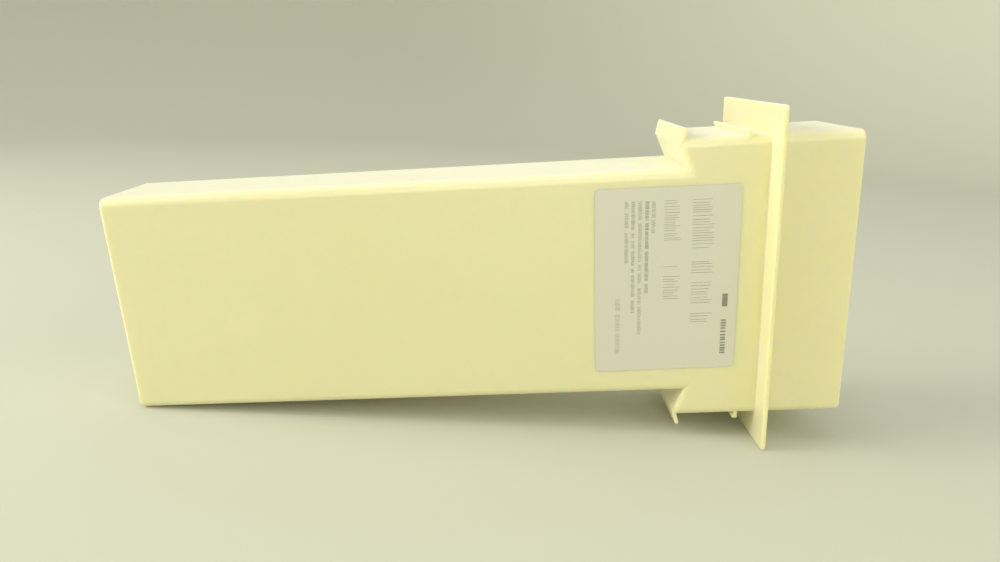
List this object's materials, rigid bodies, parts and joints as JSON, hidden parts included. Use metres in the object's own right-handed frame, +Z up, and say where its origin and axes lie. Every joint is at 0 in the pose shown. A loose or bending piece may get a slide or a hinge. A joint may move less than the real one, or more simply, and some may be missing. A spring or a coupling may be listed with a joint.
{
  "type": "ice chute cover",
  "caption": "Long closed-ended plastic sleeve with a stepped open mouth, a flange and snap ribs that hold it in a panel over an ice chute.",
  "frame": {"origin": "on the tube's axis, in the plane of the flange's seating face", "axes": "+X along the tube from its closed end to its open mouth, +Y from the front face to the back, +Z up across the tube's height"},
  "size_m": [0.3952, 0.0963, 0.1871],
  "materials": {
    "ivory_plastic": "smooth ivory injection moulding, glossy and slightly translucent",
    "label_paper": "thin matt paper sheet"
  },
  "bodies": {
    "root": {"chute_cover": "ivory_plastic", "paper_label": "label_paper"}
  },
  "joints": []
}
